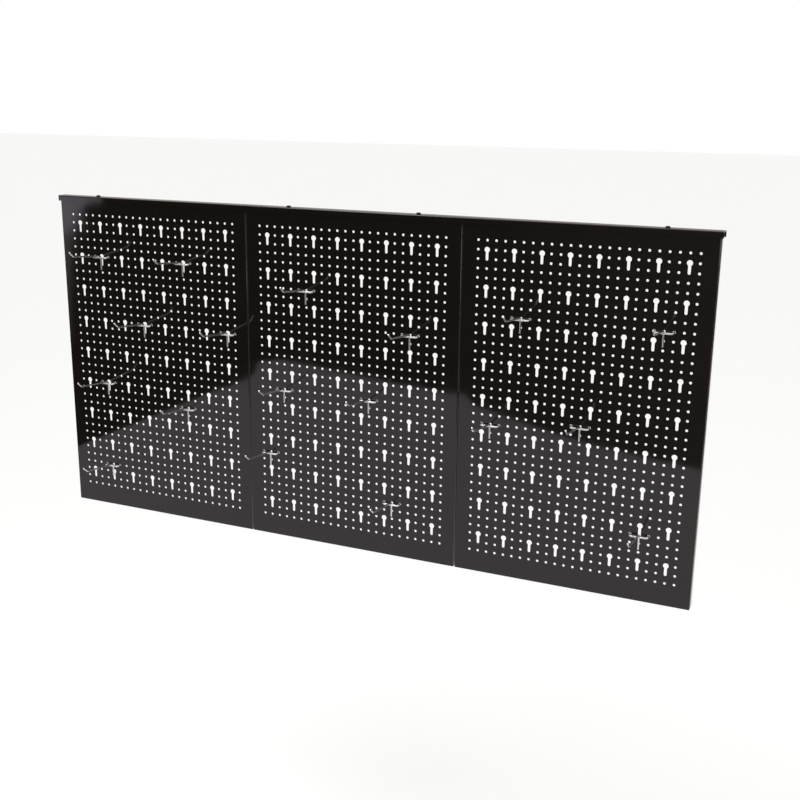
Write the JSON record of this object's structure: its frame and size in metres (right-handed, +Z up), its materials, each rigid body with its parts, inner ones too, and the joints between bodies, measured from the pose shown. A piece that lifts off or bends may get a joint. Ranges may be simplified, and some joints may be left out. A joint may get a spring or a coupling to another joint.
{
  "type": "pegboard tool wall",
  "caption": "Wall-hung perforated steel tool panel of three folded sections under one top rail, with wire hooks that hang in pairs of peg holes.",
  "frame": {"origin": "middle of the rail's rear face, where the rail is screwed to the wall", "axes": "+X to the right along the wall, +Y into the wall, +Z up"},
  "size_m": [1.206, 0.1106, 0.5998],
  "materials": {
    "black_enamel": "gloss black enamel",
    "chromed_wire": "bright plated steel wire",
    "blackened_screws": "black zinc"
  },
  "bodies": {
    "wall_board": {"panel_left": "black_enamel", "panel_middle": "black_enamel", "panel_right": "black_enamel", "top_rail": "black_enamel", "rail_screws": "blackened_screws"},
    "hook_01": {"hook_01_prong_wire": "chromed_wire", "hook_01_cross_wire": "chromed_wire"},
    "hook_02": {"hook_02_prong_wire": "chromed_wire", "hook_02_cross_wire": "chromed_wire"},
    "hook_03": {"hook_03_prong_wire": "chromed_wire", "hook_03_cross_wire": "chromed_wire"},
    "hook_04": {"hook_04_prong_wire": "chromed_wire", "hook_04_cross_wire": "chromed_wire"},
    "hook_05": {"hook_05_prong_wire": "chromed_wire", "hook_05_cross_wire": "chromed_wire"},
    "hook_06": {"hook_06_prong_wire": "chromed_wire", "hook_06_cross_wire": "chromed_wire"},
    "hook_07": {"hook_07_prong_wire": "chromed_wire", "hook_07_cross_wire": "chromed_wire"},
    "hook_08": {"hook_08_prong_wire": "chromed_wire", "hook_08_cross_wire": "chromed_wire"},
    "hook_09": {"hook_09_prong_wire": "chromed_wire", "hook_09_cross_wire": "chromed_wire"},
    "hook_10": {"hook_10_prong_wire": "chromed_wire", "hook_10_cross_wire": "chromed_wire"},
    "hook_11": {"hook_11_prong_wire": "chromed_wire", "hook_11_cross_wire": "chromed_wire"},
    "hook_12": {"hook_12_prong_wire": "chromed_wire", "hook_12_cross_wire": "chromed_wire"},
    "hook_13": {"hook_13_prong_wire": "chromed_wire", "hook_13_cross_wire": "chromed_wire"},
    "hook_14": {"hook_14_prong_wire": "chromed_wire", "hook_14_cross_wire": "chromed_wire"},
    "hook_15": {"hook_15_prong_wire": "chromed_wire", "hook_15_cross_wire": "chromed_wire"},
    "hook_16": {"hook_16_prong_wire": "chromed_wire", "hook_16_cross_wire": "chromed_wire"},
    "hook_17": {"hook_17_prong_wire": "chromed_wire", "hook_17_cross_wire": "chromed_wire"},
    "hook_18": {"hook_18_prong_wire": "chromed_wire", "hook_18_cross_wire": "chromed_wire"}
  },
  "joints": [
    {"name": "hook_01_swing", "type": "hinge", "parent": "wall_board", "child": "hook_01", "pos_m": [-0.5125, -0.0211, -0.1037], "axis": [-1, 0, 0], "range_deg": [0, 30]},
    {"name": "hook_02_swing", "type": "hinge", "parent": "wall_board", "child": "hook_02", "pos_m": [-0.3325, -0.0211, -0.1037], "axis": [-1, 0, 0], "range_deg": [0, 30]},
    {"name": "hook_03_swing", "type": "hinge", "parent": "wall_board", "child": "hook_03", "pos_m": [-0.4225, -0.0211, -0.2237], "axis": [-1, 0, 0], "range_deg": [0, 30]},
    {"name": "hook_04_swing", "type": "hinge", "parent": "wall_board", "child": "hook_04", "pos_m": [-0.2425, -0.0211, -0.2237], "axis": [-1, 0, 0], "range_deg": [0, 30]},
    {"name": "hook_05_swing", "type": "hinge", "parent": "wall_board", "child": "hook_05", "pos_m": [-0.5125, -0.0211, -0.3437], "axis": [-1, 0, 0], "range_deg": [0, 30]},
    {"name": "hook_06_swing", "type": "hinge", "parent": "wall_board", "child": "hook_06", "pos_m": [-0.3325, -0.0211, -0.3737], "axis": [-1, 0, 0], "range_deg": [0, 30]},
    {"name": "hook_07_swing", "type": "hinge", "parent": "wall_board", "child": "hook_07", "pos_m": [-0.5125, -0.0211, -0.5087], "axis": [-1, 0, 0], "range_deg": [0, 30]},
    {"name": "hook_08_swing", "type": "hinge", "parent": "wall_board", "child": "hook_08", "pos_m": [-0.0825, -0.0211, -0.1337], "axis": [-1, 0, 0], "range_deg": [0, 30]},
    {"name": "hook_09_swing", "type": "hinge", "parent": "wall_board", "child": "hook_09", "pos_m": [0.1125, -0.0211, -0.1937], "axis": [-1, 0, 0], "range_deg": [0, 30]},
    {"name": "hook_10_swing", "type": "hinge", "parent": "wall_board", "child": "hook_10", "pos_m": [-0.1275, -0.0211, -0.3137], "axis": [-1, 0, 0], "range_deg": [0, 30]},
    {"name": "hook_11_swing", "type": "hinge", "parent": "wall_board", "child": "hook_11", "pos_m": [0.0375, -0.0211, -0.3137], "axis": [-1, 0, 0], "range_deg": [0, 30]},
    {"name": "hook_12_swing", "type": "hinge", "parent": "wall_board", "child": "hook_12", "pos_m": [-0.1575, -0.0211, -0.4337], "axis": [-1, 0, 0], "range_deg": [0, 30]},
    {"name": "hook_13_swing", "type": "hinge", "parent": "wall_board", "child": "hook_13", "pos_m": [0.0825, -0.0211, -0.4937], "axis": [-1, 0, 0], "range_deg": [0, 30]},
    {"name": "hook_14_swing", "type": "hinge", "parent": "wall_board", "child": "hook_14", "pos_m": [0.3025, -0.0211, -0.1487], "axis": [-1, 0, 0], "range_deg": [0, 30]},
    {"name": "hook_15_swing", "type": "hinge", "parent": "wall_board", "child": "hook_15", "pos_m": [0.5275, -0.0211, -0.1487], "axis": [-1, 0, 0], "range_deg": [0, 30]},
    {"name": "hook_16_swing", "type": "hinge", "parent": "wall_board", "child": "hook_16", "pos_m": [0.2575, -0.0211, -0.3287], "axis": [-1, 0, 0], "range_deg": [0, 30]},
    {"name": "hook_17_swing", "type": "hinge", "parent": "wall_board", "child": "hook_17", "pos_m": [0.4075, -0.0211, -0.3137], "axis": [-1, 0, 0], "range_deg": [0, 30]},
    {"name": "hook_18_swing", "type": "hinge", "parent": "wall_board", "child": "hook_18", "pos_m": [0.5125, -0.0211, -0.4787], "axis": [-1, 0, 0], "range_deg": [0, 30]}
  ]
}
